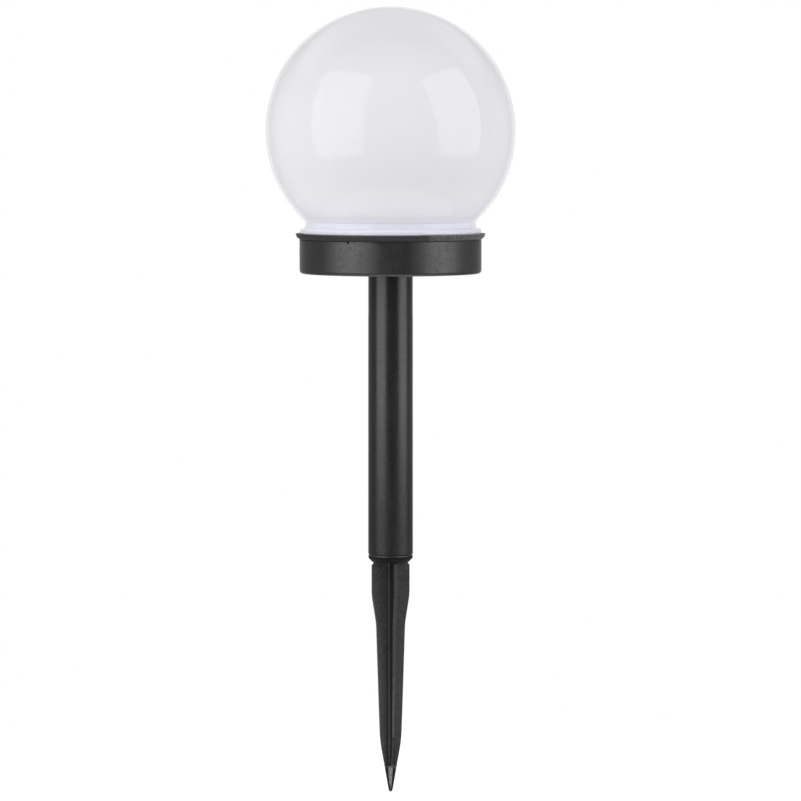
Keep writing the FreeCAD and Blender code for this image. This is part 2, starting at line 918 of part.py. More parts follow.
os.makedirs("parts", exist_ok=True)
save("ground_spike", ground_spike())
save("post_tube", post_tube())
save("lower_housing", lower_housing())
save("upper_housing", upper_housing())
save("housing_seal", housing_seal())
save("housing_screws", housing_screws())
save("globe", globe())
save("globe_seal", globe_seal())
save("battery", battery())
save("battery_spring", battery_spring())
save("driver_board", driver_board())
save("board_screws", board_screws())
save("driver_chip", driver_chip())
save("inductor_core", inductor_core())
save("inductor_winding", inductor_winding())
save("capacitor", capacitor())
save("switch_body", switch_body())
save("switch_lever", switch_lever())
save("panel_board", panel_board())
save("panel_resin", panel_resin())
save("light_board", light_board())
save_row("solar_cell", solar_cells())
save_row("led", leds())
for pole, side in (("positive", 1), ("negative", -1)):
    save(pole + "_contact", contact_plate(side))
    save(pole + "_panel_wire", panel_wire(side))
    save(pole + "_light_wire", light_wire(side))
    save(pole + "_battery_wire", battery_wire(side))
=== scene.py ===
import json
import math

import bmesh
import bpy
from mathutils import Matrix, Vector


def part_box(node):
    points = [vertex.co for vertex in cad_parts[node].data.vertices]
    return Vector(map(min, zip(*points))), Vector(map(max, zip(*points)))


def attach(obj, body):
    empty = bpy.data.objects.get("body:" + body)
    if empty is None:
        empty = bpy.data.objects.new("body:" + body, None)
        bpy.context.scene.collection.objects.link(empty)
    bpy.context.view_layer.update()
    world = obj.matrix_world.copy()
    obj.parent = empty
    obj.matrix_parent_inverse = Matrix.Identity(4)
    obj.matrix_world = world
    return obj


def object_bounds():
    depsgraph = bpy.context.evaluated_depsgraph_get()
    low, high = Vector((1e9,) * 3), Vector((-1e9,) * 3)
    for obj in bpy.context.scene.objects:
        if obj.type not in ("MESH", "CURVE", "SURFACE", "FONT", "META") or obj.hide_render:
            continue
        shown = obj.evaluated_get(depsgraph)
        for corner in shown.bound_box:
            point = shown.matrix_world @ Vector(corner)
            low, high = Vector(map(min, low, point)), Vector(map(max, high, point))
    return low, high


# Looks of a garden globe light: opal ball, black base and post, cross-bladed spike. Units are metres.
# A fade is a pair of numbers: where it starts, at 0, and where it is full, at 1.
# Shades are a pair of factors on a colour: the darkest and the lightest that a finish takes.

MM = 0.001
whole = (0.0, 1.0)
white = (1.0, 1.0, 1.0)

# Camera, placed as the photograph was taken
camera_azimuth_deg = -16.0
camera_pitch_deg = 3.8
camera_distance = 1.8
camera_lens_mm = 201.4
camera_sensor_mm = 36.0
aim_height = 64.9 * MM
aim_right = 4.0 * MM

# Soft boxes, one on each side. Their light falls to the low share along their lower edge.
box_elevation_deg = 14.0
box_distance = 1.3
box_radiance = 2.0
box_fade = (0.0, 0.06)
box_low_share = 0.2
left_box = {"azimuth_deg": -53.0, "width": 1.30, "height": 1.92, "turn_deg": 10.0, "roll_deg": 4.0}
right_box = {"azimuth_deg": 68.5, "width": 1.18, "height": 1.72, "turn_deg": -13.0, "roll_deg": 2.0}

# World: the even light that falls on the object, and what gloss sees of the room round it. Levels are
# strengths. A height fade is on a direction's height, between -1 and 1, and any other fade is on the
# cosine of its angle from straight behind the object.
ambient_low = 0.78
ambient_top = 0.30
ambient_behind = 0.4
ambient_behind_fade = (0.1, 0.7)
room_front = 0.06
room_side = 0.28
room_side_fade = (-0.2, 0.6)
room_top = 0.30
room_top_height_fade = (0.2, 0.9)
room_back_top = 0.95
room_back_top_height_fade = (0.3, 0.6)
room_back_top_fade = (0.0, 0.5)
backdrop_fade = (0.77, 0.98)

# Floor
floor_radius = 0.22
floor_sides = 96
floor_colour = (0.86, 0.86, 0.86)
floor_lift = 0.42

# Shared by the finishes. A face looks along an axis where more than the facing share of its normal lies
# along it, and is upright where less than the level share lies along Z. Worn edges fade in with the
# cosine of the normal's turn.
facing_normal = 0.7
level_normal = 0.5
soft_edge = 0.04
worn_edge_fade = (0.995, 0.9)

# Black plastic of the base and the spike: colours and levels
black_colour = (0.0124, 0.0124, 0.0127)
black_shades = (0.75, 1.35)
black_specular = 1.0
black_roughness = 0.38
black_roughness_spread = 0.04
flow_mark_fade = (0.35, 0.65)
wear_colour = (0.045, 0.045, 0.045)
wear_share = 0.4
wear_gaps_fade = (0.3, 0.6)
wear_in_gaps = 0.3
spike_extra_roughness = 0.12
rim_extra_roughness = 0.16
dust_colour = (0.0285, 0.0290, 0.0255)
dust_at_point = 0.25
dust_patch_fade = (0.35, 0.65)
dust_in_gaps = 0.6
flank_without_dust = 0.6
# The stain colour, gloss and roughness darken real soil speckles, and also, as painted shade, the collar's
# foot, the spike's inner corners, the front blade's left flank and edge, the right blade and the point's
# sides.
shade_and_stain_colour = (0.0055, 0.0055, 0.0052)
shade_and_stain_gloss = 0.1
shade_and_stain_extra_roughness = 0.3
corner_shade = 0.5
flank_shade = 0.9
right_blade_shade = 0.22
strip_shade = 0.22
strip_end_shade = 0.5
speckle_stain = 0.27
spike_speckle_stain = 0.42
point_speckle_stain = 0.3
# Painted highlight: a paler colour down the front blade's edge
strip_highlight_colour = (0.105, 0.106, 0.098)
# Painted highlight: the pale colour of the patches round the spike's point, which are also rougher and
# bumped
point_highlight_colour = (0.25, 0.25, 0.25)
point_patch_extra_roughness = 0.2
point_patches = 4
point_patch_mottle_fade = (0.40, 0.60)
point_patch_in_gaps = 0.3
# Painted highlight: a paler colour along a stretch of the base's rim
rim_highlight_colour = (0.08, 0.08, 0.08)
rim_highlight_patch_fade = (0.35, 0.55)
rim_highlight_in_gaps = 0.45

# Black plastic: sizes of its texture
grain_size = 0.35 * MM
grain_depth = 0.012 * MM
dapple_size = 1.2 * MM
dapple_depth = 0.02 * MM
cloud_size = 6 * MM
streak_size = 1.6 * MM
streak_stretch = 12
wear_width = 0.35 * MM
speckle_size = 0.55 * MM
speckle_fade = (0.40, 0.64)
rim_highlight_patch_size = 1.5 * MM
point_patch_mottle_size = 0.9 * MM
point_patch_mottle_stretch = 1.4
point_patch_depth = 0.03 * MM
rim_margin = 0.2 * MM

# Black plastic: places on the spike, as heights from ground level. They bound the spike, its dust and
# speckles, the painted shadow under the collar, the painted shade in the inner corners and low on the
# front edge, and the painted highlight on that edge.
spike_fade = (3 * MM, -1 * MM)
dust_fade = (-72 * MM, -50 * MM)
# Painted shadow: where it lies under the collar, by height
collar_shadow_top_fade = (2.6 * MM, 2.2 * MM)
collar_shadow_end_fade = (-0.6 * MM, 0.1 * MM)
corner_top_fade = (-0.5 * MM, -2.5 * MM)
strip_highlight_fade = (-42 * MM, -60 * MM)
strip_end_fade = (-70 * MM, -71 * MM)
strip_end_low_fade = (-83 * MM, -81 * MM)
point_speckle_fade = (-72 * MM, -78 * MM)

# Black plastic: places on the spike, as distances from its axis or along X or Y, and above its point. They
# bound the painted shade in the inner corners, on the front blade's left flank, on the right blade and
# round the point, the front edge with its painted highlight, and the point's patches of painted highlight.
corner_reach_fade = (2.3 * MM, 1.6 * MM)
flank_reach_fade = (-0.8 * MM, -1.6 * MM)
right_blade_reach_fade = (1.6 * MM, 2.2 * MM)
strip_half_fade = (1.5 * MM, 1.2 * MM)
strip_highlight_half_fade = (0.25 * MM, -0.05 * MM)
point_shade_top_fade = (10.0 * MM, 9.2 * MM)
point_patch_top_fade = (10.5 * MM, 9.3 * MM)
point_patch_tip_fade = (1.0 * MM, 3.5 * MM)

# Black plastic: places round the axis, as angles from the front and as lobes between -1 and 1. The angles
# bound the rim's painted highlight, and the lobes the point's painted highlight and the painted shade
# between its patches.
rim_highlight_start_fade = (math.radians(7.0), math.radians(9.0))
rim_highlight_end_fade = (math.radians(70.0), math.radians(60.0))
point_shade_lobe_fade = (0.0, -0.5)
point_patch_lobe_fade = (-0.25, 0.35)

# Black tube of the post. Its foot is the height above its lower end where soil stays.
tube_colour = (0.0116, 0.0116, 0.0119)
tube_specular = 0.79
tube_roughness = 0.28
tube_roughness_spread = 0.04
tube_extra_roughness = 0.12
tube_band_roughness = 0.05
# Painted shade: the gloss is dimmed low on the tube, from above the middle down; the foot and speckles are
# soil
tube_low_shade = 0.6
tube_speckle_soil = 0.45
tube_shade_and_soil_gloss = 0.35
tube_line_size = 0.3 * MM
tube_line_stretch = 160
tube_line_depth = 0.006 * MM
tube_band_size = 1.1 * MM
tube_band_stretch = 60
tube_rub_size = 3 * MM
tube_rub_stretch = 5
tube_handled_over_middle = 20 * MM
tube_shade_over_middle = 10 * MM
tube_foot_fade = (1.1 * MM, 0.6 * MM)

# Opal plastic of the ball. Low down it is paler and a little bluer, the paleness being painted light, and
# it is bluer at its foot, by its height over the base's rim.
opal_colour = (0.775, 0.775, 0.815)
opal_shades = (0.985, 1.015)
opal_painted_light_colour = (0.862, 0.858, 0.925)
opal_foot_colour = (0.755, 0.755, 0.855)
opal_roughness = 0.04
opal_roughness_spread = 0.01
opal_scatter = 6 * MM
opal_painted_light_fade = (26 * MM, 6 * MM)
opal_foot_fade = (6 * MM, 4 * MM)
opal_cloud_size = 18 * MM
opal_ripple_size = 9 * MM
opal_ripple_depth = 0.05 * MM
gate_fade = (1.32 * MM, 1.08 * MM)
gate_depth = 0.12 * MM
gate_reach_down = 5 * MM

# Small parts: the colour, roughness, grain size and grain depth of each finish
zinc_colour = (0.62, 0.62, 0.60)
small_looks = {
    "seal_rubber": ((0.03, 0.03, 0.03), 0.75, 0.2 * MM, 0.02 * MM),
    "steel": (zinc_colour, 0.3, 0.2 * MM, 0.004 * MM),
    "battery_sleeve": ((0.05, 0.25, 0.1), 0.3, 0.4 * MM, 0.01 * MM),
    "circuit_board": ((0.02, 0.13, 0.05), 0.35, 0.3 * MM, 0.01 * MM),
    "white_board": ((0.78, 0.78, 0.76), 0.4, 0.3 * MM, 0.01 * MM),
    "chip_resin": ((0.02, 0.02, 0.02), 0.6, 0.1 * MM, 0.01 * MM),
    "ferrite": ((0.05, 0.05, 0.05), 0.55, 0.15 * MM, 0.02 * MM),
    "copper_wire": ((0.55, 0.2, 0.08), 0.25, 0.2 * MM, 0.004 * MM),
    "capacitor_sleeve": ((0.02, 0.03, 0.08), 0.3, 0.3 * MM, 0.01 * MM),
    "switch_lever": ((0.55, 0.55, 0.53), 0.5, 0.2 * MM, 0.01 * MM),
    "clear_resin": ((0.8, 0.85, 0.9), 0.05, 2 * MM, 0.02 * MM),
    "solar_silicon": ((0.02, 0.03, 0.09), 0.25, 0.8 * MM, 0.01 * MM),
    "led_lens": ((0.82, 0.81, 0.77), 0.35, 0.2 * MM, 0.005 * MM),
    "red_wire": ((0.45, 0.02, 0.02), 0.45, 0.3 * MM, 0.01 * MM),
    "black_wire": ((0.02, 0.02, 0.02), 0.45, 0.3 * MM, 0.01 * MM),
}

# Small parts: how the cloudy patches of each change its colour and roughness
cloud_fade = (0.3, 0.7)
cloud_sizes_of_grain = 8
cloud_shades = (0.88, 1.1)
cloud_roughness_shares = (0.9, 1.12)

# Small parts: colours of their marks
talc_colour = (0.12, 0.12, 0.115)
dull_zinc_colour = (0.3, 0.29, 0.27)
tin_colour = (0.66, 0.65, 0.62)
sleeve_band_colour = (0.62, 0.63, 0.6)
green_track_colour = (0.05, 0.24, 0.09)
white_track_colour = (0.68, 0.69, 0.66)
board_core_colour = (0.34, 0.33, 0.17)
resin_dimple_colour = (0.03, 0.03, 0.03)
ferrite_pit_colour = (0.14, 0.14, 0.14)
# Painted shade in the grooves between the wire's turns
between_turns_shade_colour = (0.14, 0.045, 0.02)
capacitor_stripe_colour = (0.55, 0.58, 0.62)
aluminium_colour = (0.74, 0.74, 0.74)
grime_colour = (0.22, 0.21, 0.19)
dark_crystal_colour = (0.015, 0.03, 0.12)
light_crystal_colour = (0.04, 0.08, 0.27)
silver_colour = (0.62, 0.62, 0.6)
phosphor_colour = (0.86, 0.66, 0.12)

# Small parts: sizes and levels of their textures and marks
talc_size = 2.5 * MM
talc_fade = (0.5, 0.75)
talc_share = 0.4
spangle_size = 0.9 * MM
spangle_roughness = (0.24, 0.42)
zinc_spot_size = 0.8 * MM
zinc_spot_fade = (0.58, 0.7)
zinc_spot_share = 0.5
drawn_line_size = 0.06 * MM
drawn_line_stretch = 12
drawn_line_depth = 0.002 * MM
sleeve_band_place = 8.0 * MM
sleeve_band_width = 2.5 * MM
sleeve_lap = 1.2 * MM
sleeve_wrinkle_size = 0.5 * MM
sleeve_wrinkle_stretch = 6
sleeve_wrinkle_depth = 0.06 * MM
sleeve_wrinkle_reach = 4 * MM
track_pitch = 1.3 * MM
track_width = 0.35 * MM
track_depth = 0.035 * MM
track_field_size = 7 * MM
track_field_fade = (0.49, 0.51)
dot_pitch = 3 * track_pitch
dot_width = 1.6 * track_width
dot_field_size = 4 * MM
dot_field_fade = (0.5, 0.52)
ring_track_offset = 2 * MM
ring_track_half_width = 0.3 * MM
dimple_inset = 1.0 * MM
dimple_radius = 0.4 * MM
dimple_depth = 0.1 * MM
dimple_reach_down = 0.05 * MM
ferrite_pit_size = 0.18 * MM
ferrite_pit_fade = (0.6, 0.7)
ferrite_pit_depth = 0.02 * MM
wire_turn_pitch = 0.28 * MM
wire_turn_depth = wire_turn_pitch / 3
capacitor_stripe_start = 0.85
capacitor_sleeve_lap = 0.35 * MM
capacitor_top_reach_down = 0.3 * MM
score_half_width = 0.1 * MM
score_depth = 0.12 * MM
thumb_height = 0.8 * MM
ridge_half_pitch = 0.25 * MM
grime_size = 0.7 * MM
grime_fade = (0.5, 0.7)
grime_share = 0.6
bubble_spacing = 2.2 * MM
bubble_radius_share = 0.08
bubble_depth = 0.05 * MM
crystal_size = 2.4 * MM
crystal_roughness = (0.18, 0.34)
finger_pitch = 1.25 * MM
finger_width = 0.12 * MM
bar_width = 0.9 * MM
silver_depth = 0.015 * MM
lamp_window_radius = 1.15 * MM
lamp_window_depth = 0.1 * MM
stripped_end = 0.6 * MM

# Legs of the chip. The path is one leg's middle line: out from the chip's side, and up from the board.
legs_a_side = 4
leg_pitch = 1.27 * MM
leg_width = 0.42 * MM
leg_thickness = 0.16 * MM
leg_path_mm = [(0.0, 0.85), (0.2, 0.85), (0.32, 0.75), (0.42, 0.2), (0.54, 0.09), (0.8, 0.09)]

# Solder round the wires' ends. The profile is its radius at each height over the board. The pads' places
# are counted from the board's middle or in from its edges, and there is one pad of each on each side.
solder_profile_mm = [(1.05, 0.0), (0.82, 0.1), (0.68, 0.3), (0.6, 0.55), (0.55, 0.75)]
solder_sides = 32
panel_pad_x = 3.4 * MM
panel_pad_over_middle = 1.0 * MM
light_pad_x = 1.2 * MM
pad_inset = 1.6 * MM


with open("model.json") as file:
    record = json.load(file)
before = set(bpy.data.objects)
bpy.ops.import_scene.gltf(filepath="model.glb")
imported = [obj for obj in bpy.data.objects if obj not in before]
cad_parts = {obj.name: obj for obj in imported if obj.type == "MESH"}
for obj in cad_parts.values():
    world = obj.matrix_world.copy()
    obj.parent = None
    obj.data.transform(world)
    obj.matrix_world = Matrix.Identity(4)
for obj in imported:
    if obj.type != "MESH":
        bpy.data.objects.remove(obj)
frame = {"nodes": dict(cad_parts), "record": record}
cad_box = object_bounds()
slot_of = {part["node"]: part["material_slot"] for part in frame["record"]["subparts"]}
rim_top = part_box("globe_seal")[1].z
cup_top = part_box("lower_housing")[1].z
point_end = cad_box[0].z


def middle_of(name):
    low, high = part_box(name)
    return (low + high) / 2


def circle(centre_x, centre_y, height, radius, sides):
    """Points of a level circle."""
    turns = [2 * math.pi * i / sides for i in range(sides)]
    return [(centre_x + radius * math.cos(t), centre_y + radius * math.sin(t), height) for t in turns]


class Tree:
    """A node tree with short calls for the nodes that the finishes, the world and the lamps use."""

    def __init__(self, tree):
        self.tree = tree
        tree.nodes.clear()

    def add(self, kind, inputs=None, **settings):
        made = self.tree.nodes.new(kind)
        for key, value in settings.items():
            setattr(made, key, value)
        for key, value in (inputs or {}).items():
            if isinstance(value, bpy.types.NodeSocket):
                self.tree.links.new(value, made.inputs[key])
            else:
                made.inputs[key].default_value = value
        return made

    def value(self, operation, first, second=0.0, third=0.0):
        return self.add("ShaderNodeMath", {0: first, 1: second, 2: third}, operation=operation).outputs[0]

    def both(self, first, second):
        return self.value("MULTIPLY", first, second)

    def either(self, first, second):
        return self.value("MAXIMUM", first, second)

    def outside(self, part):
        """1 where the part is 0, and 0 where it is 1."""
        return self.value("SUBTRACT", 1.0, part)

    def raised(self, base, part, amount):
        """The base value, with this amount added where the part is 1."""
        return self.value("MULTIPLY_ADD", part, amount, base)

    def fade(self, value, ends, start=0.0, full=1.0, shape="SMOOTHSTEP"):
        """From start, at the first end, to full, at the second, and level outside them."""
        sockets = {"Value": value, 1: ends[0], 2: ends[1], 3: start, 4: full}
        return self.add("ShaderNodeMapRange", sockets, interpolation_type=shape).outputs["Result"]

    def component(self, vector, letter):
        return self.add("ShaderNodeSeparateXYZ", {0: vector}).outputs[letter]

    def dot(self, first, second):
        made = self.add("ShaderNodeVectorMath", {0: first, 1: second}, operation="DOT_PRODUCT")
        return made.outputs["Value"]

    def blend(self, factor, first, second):
        """Number between two numbers, which go into sockets 2 and 3 of the node."""
        return self.add("ShaderNodeMix", {0: factor, 2: first, 3: second}).outputs[0]

    def mix(self, factor, first, second):
        """Colour between two colours, which go into sockets 6 and 7 of the node."""
        first, second = ((*c, 1.0) if isinstance(c, tuple) else c for c in (first, second))
        return self.add("ShaderNodeMix", {0: factor, 6: first, 7: second}, data_type="RGBA").outputs[2]


class Finish(Tree):
    """A material with one Principled shader, whose detail is laid out in the object's own space."""

    def __init__(self, name, colour, roughness, **sockets):
        self.material = bpy.data.materials.new(name)
        self.material.use_nodes = True
        super().__init__(self.material.node_tree)
        output = self.add("ShaderNodeOutputMaterial")
        self.shader = self.add("ShaderNodeBsdfPrincipled")
        self.tree.links.new(self.shader.outputs[0], output.inputs["Surface"])
        self.colour = colour
        self.roughness = roughness
        self.shader.inputs["Base Color"].default_value = (*colour, 1.0)
        self.shader.inputs["Roughness"].default_value = roughness
        for key, value in sockets.items():
            self.shader.inputs[key.replace("_", " ")].default_value = value
        self.place = self.add("ShaderNodeTexCoord").outputs["Object"]
        self.last_bump = None

    def axis(self, letter):
        return self.component(self.place, letter)

    def facing(self, letter):
        """The surface normal's part along one of the object's axes."""
        return self.component(self.add("ShaderNodeTexCoord").outputs["Normal"], letter)

    def noise(self, size, detail=2.0, roughness=0.5, stretch=(1.0, 1.0, 1.0)):
        """Noise with features of that size in metres, longer along an axis whose stretch is over 1."""
        scale = tuple(1.0 / (size * along) for along in stretch)
        moved = self.add("ShaderNodeMapping", {"Vector": self.place, "Scale": scale}).outputs[0]
        sockets = {"Vector": moved, "Scale": 1.0, "Detail": detail, "Roughness": roughness}
        return self.add("ShaderNodeTexNoise", sockets).outputs[0]

    def cells(self, size):
        """Outputs of a cell pattern whose cells are about that far apart."""
        return self.add("ShaderNodeTexVoronoi", {"Vector": self.place, "Scale": 1 / size}).outputs

    def set_colour(self, socket):
        self.colour = socket
        self.tree.links.new(socket, self.shader.inputs["Base Color"])

    def set_roughness(self, socket):
        self.roughness = socket
        self.tree.links.new(socket, self.shader.inputs["Roughness"])

    def tint(self, factor, shades):
        """Base colour that goes from the darker to the lighter shade of itself."""
        darkest, lightest = (tuple(min(1.0, c * shade) for c in self.colour) for shade in shades)
        self.set_colour(self.mix(factor, darkest, lightest))

    def paint(self, part, colour):
        """Where part is 1, the surface takes this colour."""
        self.set_colour(self.mix(part, self.colour, colour))

    def inlay(self, part, colour, roughness):
        """Where part is 1, the surface takes this colour and roughness."""
        self.paint(part, colour)
        self.set_roughness(self.fade(part, whole, self.roughness, roughness))

    def metal(self, part, colour, roughness):
        """Where part is 1, the surface is bare metal."""
        self.inlay(part, colour, roughness)
        self.tree.links.new(part, self.shader.inputs["Metallic"])

    def dim_gloss(self, part, gloss_left):
        """Where part is 1, a grey specular tint takes the gloss down to this share, for soil and for
        painted shade.
        """
        tint = self.mix(part, white, (gloss_left, gloss_left, gloss_left))
        self.tree.links.new(tint, self.shader.inputs["Specular Tint"])

    def away(self, letter, centre):
        """Distance along one axis from a place on it."""
        return self.value("ABSOLUTE", self.value("SUBTRACT", self.axis(letter), centre))

    def span(self, first, second):
        """Length of a step with these two parts, square to each other."""
        square = self.value("MULTIPLY_ADD", first, first, self.value("MULTIPLY", second, second))
        return self.value("SQRT", square)

    def away_from_line(self, letters, centre):
        """Distance from a line that stands square to two axes."""
        return self.span(*(self.away(letter, middle) for letter, middle in zip(letters, centre)))

    def above(self, height):
        return self.value("GREATER_THAN", self.axis("Z"), height)

    def below(self, height):
        return self.value("LESS_THAN", self.axis("Z"), height)

    def within(self, distance, limit):
        """1 where the distance is under the limit, with a narrow soft edge."""
        return self.fade(distance, (limit * (1 + soft_edge), limit * (1 - soft_edge)))

    def lines(self, letter, start, pitch, width):
        """Lines square to an axis, one every pitch."""
        place = self.value("SUBTRACT", self.axis(letter), start)
        return self.within(self.value("PINGPONG", place, pitch / 2), width / 2)

    def upright(self):
        """1 on upright faces, 0 on level ones."""
        return self.value("LESS_THAN", self.value("ABSOLUTE", self.facing("Z")), level_normal)

    def bump(self, height, depth, strength=1.0):
        sockets = {"Height": height, "Distance": depth, "Strength": strength}
        if self.last_bump:
            sockets["Normal"] = self.last_bump
        self.last_bump = self.add("ShaderNodeBump", sockets).outputs[0]
        self.tree.links.new(self.last_bump, self.shader.inputs["Normal"])


# Camera, lights, world and floor


def from_camera_side(azimuth_deg, elevation_deg):
    """Unit direction from the object, with azimuth counted from the camera's own."""
    azimuth = math.radians(camera_azimuth_deg + azimuth_deg)
    elevation = math.radians(elevation_deg)
    flat = math.cos(elevation)
    return Vector((math.sin(azimuth) * flat, -math.cos(azimuth) * flat, math.sin(elevation)))


def make_camera():
    data = bpy.data.cameras.new("camera")
    data.lens = camera_lens_mm
    data.sensor_width = camera_sensor_mm
    camera = bpy.data.objects.new("camera", data)
    back = from_camera_side(0, camera_pitch_deg)
    right = Vector((-back.y, back.x, 0)).normalized()
    aim = Vector((0, 0, aim_height)) + right * aim_right
    camera.location = aim + back * camera_distance
    camera.rotation_euler = (-back).to_track_quat("-Z", "Y").to_euler()
    bpy.context.scene.collection.objects.link(camera)
    bpy.context.scene.camera = camera


def make_soft_box(name, azimuth_deg, width, height, turn_deg, roll_deg):
    """Soft box that faces the ball, and is then turned and rolled."""
    data = bpy.data.lights.new(name, "AREA")
    data.shape = "RECTANGLE"
    data.size = width
    data.size_y = height
    data.energy = box_radiance * math.pi * width * height
    light = bpy.data.objects.new(name, data)
    outward = from_camera_side(azimuth_deg, box_elevation_deg)
    low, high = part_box("globe")
    ball_centre = Vector((0, 0, high.z - (high.x - low.x) / 2))
    light.location = ball_centre + outward * box_distance
    facing = outward.to_track_quat("Z", "Y").to_matrix()
    turned = Matrix.Rotation(math.radians(turn_deg), 3, "Y")
    rolled = Matrix.Rotation(math.radians(roll_deg), 3, "Z")
    light.rotation_euler = (facing @ turned @ rolled).to_euler()
    bpy.context.scene.collection.objects.link(light)
    data.use_nodes = True
    tree = Tree(data.node_tree)
    up = tree.component(tree.add("ShaderNodeNewGeometry").outputs["Parametric"], "Y")
    strength = tree.fade(up, box_fade, box_low_share, 1.0)
    glow = tree.add("ShaderNodeEmission", {"Strength": strength}).outputs[0]
    tree.add("ShaderNodeOutputLight", {"Surface": glow})


def room(tree, behind, height):
    """What gloss sees: dim walls and ceiling, lighter high up at the back, and the white backdrop."""
    walls = tree.fade(behind, room_side_fade, room_front, room_side)
    ceiling = tree.fade(height, room_top_height_fade, 0.0, room_top)
    back_top = tree.fade(height, room_back_top_height_fade, 0.0, room_back_top)
    back_top = tree.both(back_top, tree.fade(behind, room_back_top_fade))
    dim = tree.either(walls, tree.either(ceiling, back_top))
    return tree.either(tree.fade(behind, backdrop_fade), dim)


def make_world():
    """White behind the object; gloss sees a dim room with that white behind; the rest is even light."""
    world = bpy.data.worlds.new("studio")
    world.use_nodes = True
    world.cycles.sampling_method = "NONE"
    bpy.context.scene.world = world
    tree = Tree(world.node_tree)
    direction = tree.add("ShaderNodeTexCoord").outputs["Generated"]
    behind = tree.dot(direction, -from_camera_side(0, 0))
    height = tree.component(direction, "Z")
    seen_by_gloss = room(tree, behind, height)
    ambient = tree.fade(height, (-1.0, 1.0), ambient_low, ambient_top, shape="LINEAR")
    ambient = tree.value("ADD", ambient, tree.fade(behind, ambient_behind_fade, 0.0, ambient_behind))
    rays = tree.add("ShaderNodeLightPath").outputs
    shiny = tree.either(rays["Is Glossy Ray"], rays["Is Transmission Ray"])
    strength = tree.blend(shiny, ambient, seen_by_gloss)
    strength = tree.blend(rays["Is Camera Ray"], strength, 1.0)
    light = tree.add("ShaderNodeBackground", {"Color": (*white, 1.0), "Strength": strength}).outputs[0]
    tree.add("ShaderNodeOutputWorld", {"Surface": light})


def make_floor():
    """Pale disc under the spike's point: it keeps the object's shadow, and is clear from below."""
    material = bpy.data.materials.new("floor")
    material.use_nodes = True
    tree = Tree(material.node_tree)
    matte = tree.add("ShaderNodeBsdfDiffuse", {"Color": (*floor_colour, 1.0)}).outputs[0]
    rays = tree.add("ShaderNodeLightPath").outputs
    seen = tree.either(rays["Is Glossy Ray"], rays["Is Transmission Ray"])
    seen = tree.either(seen, rays["Is Camera Ray"])
    glow_sockets = {"Color": (*white, 1.0), "Strength": tree.both(seen, floor_lift)}
    glow = tree.add("ShaderNodeEmission", glow_sockets).outputs[0]
    top = tree.add("ShaderNodeAddShader", {0: matte, 1: glow}).outputs[0]
    underside = tree.add("ShaderNodeNewGeometry").outputs["Backfacing"]
    clear = tree.add("ShaderNodeBsdfTransparent").outputs[0]
    surface = tree.add("ShaderNodeMixShader", {0: underside, 1: top, 2: clear}).outputs[0]
    tree.add("ShaderNodeOutputMaterial", {"Surface": surface})
    mesh = bpy.data.meshes.new("floor")
    mesh.from_pydata(circle(0, 0, point_end, floor_radius, floor_sides), [], [list(range(floor_sides))])
    mesh.materials.append(material)
    floor = bpy.data.objects.new("floor", mesh)
    bpy.context.scene.collection.objects.link(floor)


# Black plastic and black tube


def black_plastic():
    """Satin moulded plastic: spark texture, flow marks, worn edges, a duller, dusty spike, painted shade
    and highlights.
    """
    finish = Finish("black_plastic", black_colour, black_roughness, Specular_IOR_Level=black_specular)
    height = finish.axis("Z")
    grain = finish.noise(grain_size, detail=3.0, roughness=0.6)
    dapple = finish.noise(dapple_size, detail=3.0, roughness=0.6)
    cloud = finish.noise(cloud_size, detail=4.0, roughness=0.6)
    streaks = finish.noise(streak_size, detail=3.0, roughness=0.6, stretch=(1, 1, streak_stretch))
    marks = finish.raised(finish.both(cloud, 0.5), streaks, 0.5)
    spike = finish.fade(height, spike_fade)
    shaded_flank = finish.both(front_blade_shaded_flank(finish), spike)
    strip = finish.both(front_strip(finish), spike)
    shade_and_stains = painted_shade_and_stains(finish, height, spike, shaded_flank, strip)
    highlight_patches = point_highlight_patches(finish, height)
    rim_highlight = rim_painted_highlight(finish)
    finish.tint(marks, black_shades)
    finish.paint(spike_dust(finish, height, spike, shaded_flank, cloud), dust_colour)
    finish.paint(finish.both(worn_edges(finish, grain), wear_share), wear_colour)
    # Painted highlight on the front edge, painted shade with soil speckles, painted highlight round the
    # point and on the rim
    finish.paint(strip_painted_highlight(finish, height, strip, shade_and_stains), strip_highlight_colour)
    finish.paint(shade_and_stains, shade_and_stain_colour)
    finish.paint(highlight_patches, point_highlight_colour)
    finish.paint(rim_highlight, rim_highlight_colour)
    smoothest = black_roughness - black_roughness_spread
    dull = finish.fade(marks, flow_mark_fade, smoothest, black_roughness + black_roughness_spread)
    dull = finish.raised(dull, spike, spike_extra_roughness)
    dull = finish.raised(dull, finish.both(on_rim(finish), finish.outside(rim_highlight)), rim_extra_roughness)
    dull = finish.raised(dull, highlight_patches, point_patch_extra_roughness)
    finish.set_roughness(finish.raised(dull, shade_and_stains, shade_and_stain_extra_roughness))
    finish.dim_gloss(shade_and_stains, shade_and_stain_gloss)
    finish.bump(grain, grain_depth, strength=0.5)
    finish.bump(dapple, dapple_depth, strength=0.35)
    finish.bump(highlight_patches, point_patch_depth, strength=0.5)
    return finish.material


def speckles(finish):
    """Fine specks of dust and soil, from 0 to 1."""
    return finish.fade(finish.noise(speckle_size, detail=3.0, roughness=0.65), speckle_fade)


def worn_edges(finish, grain):
    """Up to 1 along edges, where the surface turns within the worn width, and 0 on faces."""
    rounded = finish.add("ShaderNodeBevel", {"Radius": wear_width}, samples=4).outputs[0]
    flat = finish.add("ShaderNodeNewGeometry").outputs["Normal"]
    edges = finish.fade(finish.dot(rounded, flat), worn_edge_fade)
    return finish.both(edges, finish.fade(grain, wear_gaps_fade, wear_in_gaps, 1.0))


